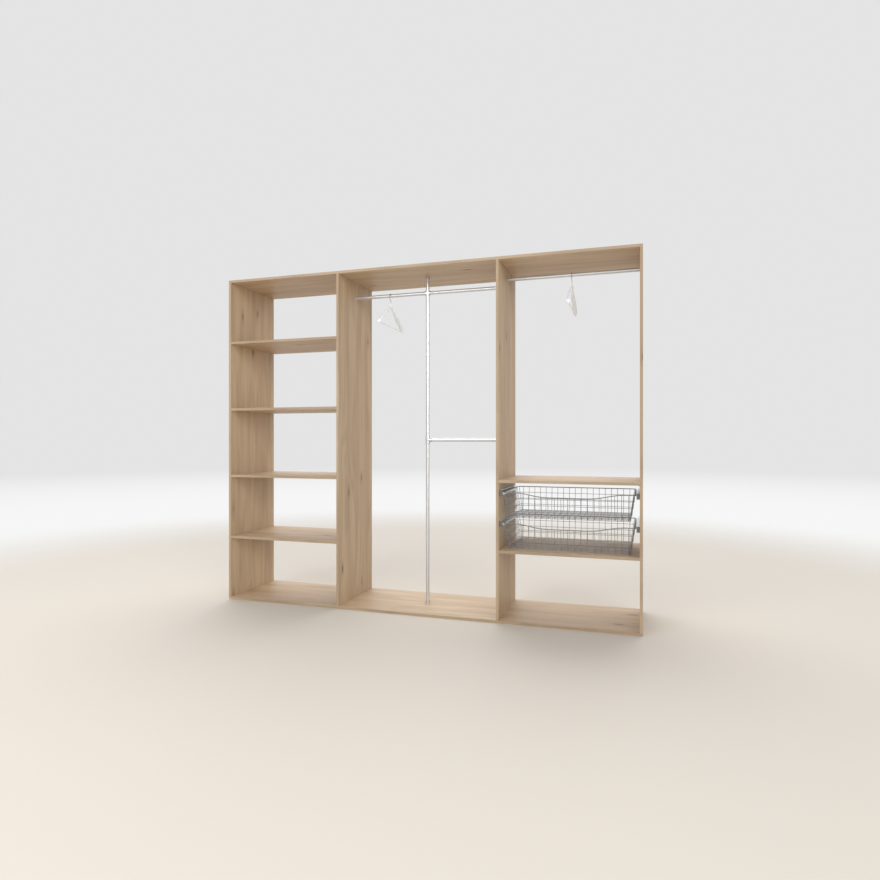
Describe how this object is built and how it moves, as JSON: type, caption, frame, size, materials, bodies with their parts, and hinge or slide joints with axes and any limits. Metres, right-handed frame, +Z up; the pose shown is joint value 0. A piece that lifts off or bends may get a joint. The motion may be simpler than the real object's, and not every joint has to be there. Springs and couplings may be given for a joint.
{
  "type": "walk-in closet system",
  "caption": "Open three-bay walk-in closet in light oak board with shelves, chrome hanging rods on a pole, pull-out wire baskets and clothes hangers.",
  "frame": {"origin": "on the floor under the middle of the unit", "axes": "+X to the right as seen from the front, -Y out of the open front, +Z up"},
  "size_m": [2.972, 0.58, 2.4],
  "materials": {
    "oak_board": "satin light oak melamine",
    "oak_edge": "satin light oak edge band",
    "beech_dowel": "raw fluted beech",
    "chrome_tube": "polished",
    "chrome_wire": "polished",
    "basket_wire": "satin silver grey coat",
    "runner_steel": "bright zinc plate",
    "zinc_steel": "zinc plate",
    "dark_plastic": "fine matt",
    "white_plastic": "smooth"
  },
  "bodies": {
    "closet_frame": {"bottom_panel": "oak_board", "connector_grub_screws": "zinc_steel", "divider_left": "oak_board", "divider_right": "oak_board", "fitting_screws": "zinc_steel", "front_edge_bands": "oak_edge", "hanging_rod_half": "chrome_tube", "hanging_rod_middle_left": "chrome_tube", "hanging_rod_middle_right": "chrome_tube", "hanging_rod_right": "chrome_tube", "left_shelf_1": "oak_board", "left_shelf_2": "oak_board", "left_shelf_3": "oak_board", "left_shelf_4": "oak_board", "left_side_panel": "oak_board", "panel_dowels": "beech_dowel", "panel_screws": "zinc_steel", "pole": "chrome_tube", "pole_cross_connector": "chrome_tube", "pole_foot_cup": "chrome_tube", "pole_tee_connector": "chrome_tube", "pole_top_cup": "chrome_tube", "right_shelf_1": "oak_board", "right_shelf_2": "oak_board", "right_side_panel": "oak_board", "rod_end_plugs": "dark_plastic", "runner_lower_left_outer": "runner_steel", "runner_lower_right_outer": "runner_steel", "runner_screws": "zinc_steel", "runner_upper_left_outer": "runner_steel", "runner_upper_right_outer": "runner_steel", "shelf_pins": "zinc_steel", "top_panel": "oak_board"},
    "basket_upper": {"basket_upper_carrier_left": "runner_steel", "basket_upper_carrier_right": "runner_steel", "basket_upper_front_clips": "dark_plastic", "basket_upper_mesh": "basket_wire", "basket_upper_rim": "basket_wire", "basket_upper_rivets": "runner_steel", "runner_upper_left_inner": "runner_steel", "runner_upper_right_inner": "runner_steel"},
    "basket_lower": {"basket_lower_carrier_left": "runner_steel", "basket_lower_carrier_right": "runner_steel", "basket_lower_front_clips": "dark_plastic", "basket_lower_mesh": "basket_wire", "basket_lower_rim": "basket_wire", "basket_lower_rivets": "runner_steel", "runner_lower_left_inner": "runner_steel", "runner_lower_right_inner": "runner_steel"},
    "cage_upper_left": {"ball_cage_upper_left": "runner_steel"},
    "cage_upper_right": {"ball_cage_upper_right": "runner_steel"},
    "cage_lower_left": {"ball_cage_lower_left": "runner_steel"},
    "cage_lower_right": {"ball_cage_lower_right": "runner_steel"},
    "hook_left": {"hanger_left_hook": "chrome_wire"},
    "hanger_left": {"hanger_left_body": "white_plastic", "hanger_left_trouser_bar": "white_plastic"},
    "hook_right": {"hanger_right_hook": "chrome_wire"},
    "hanger_right": {"hanger_right_body": "white_plastic", "hanger_right_trouser_bar": "white_plastic"}
  },
  "joints": [
    {"name": "basket_upper_slide", "type": "slide", "parent": "closet_frame", "child": "basket_upper", "axis": [0, -1, 0], "range_m": [0, 0.4]},
    {"name": "basket_lower_slide", "type": "slide", "parent": "closet_frame", "child": "basket_lower", "axis": [0, -1, 0], "range_m": [0, 0.4]},
    {"name": "cage_upper_left_roll", "type": "slide", "parent": "closet_frame", "child": "cage_upper_left", "axis": [0, -1, 0], "range_m": [0, 0.2]},
    {"name": "cage_upper_right_roll", "type": "slide", "parent": "closet_frame", "child": "cage_upper_right", "axis": [0, -1, 0], "range_m": [0, 0.2]},
    {"name": "cage_lower_left_roll", "type": "slide", "parent": "closet_frame", "child": "cage_lower_left", "axis": [0, -1, 0], "range_m": [0, 0.2]},
    {"name": "cage_lower_right_roll", "type": "slide", "parent": "closet_frame", "child": "cage_lower_right", "axis": [0, -1, 0], "range_m": [0, 0.2]},
    {"name": "hook_left_slide", "type": "slide", "parent": "closet_frame", "child": "hook_left", "axis": [1, 0, 0], "range_m": [-0.1, 0.11]},
    {"name": "hanger_left_swivel", "type": "hinge", "parent": "hook_left", "child": "hanger_left", "pos_m": [-0.287, 0, 2.185], "axis": [0, 0, 1], "range_deg": [-45, 45]},
    {"name": "hook_right_slide", "type": "slide", "parent": "closet_frame", "child": "hook_right", "axis": [1, 0, 0], "range_m": [-0.19, 0.18]},
    {"name": "hanger_right_swivel", "type": "hinge", "parent": "hook_right", "child": "hanger_right", "pos_m": [1.03, 0, 2.236], "axis": [0, 0, 1], "continuous": true}
  ],
  "couplings": [
    {"joint": "cage_upper_left_roll", "follows": "basket_upper_slide", "ratio": 0.5},
    {"joint": "cage_upper_right_roll", "follows": "basket_upper_slide", "ratio": 0.5},
    {"joint": "cage_lower_left_roll", "follows": "basket_lower_slide", "ratio": 0.5},
    {"joint": "cage_lower_right_roll", "follows": "basket_lower_slide", "ratio": 0.5}
  ]
}
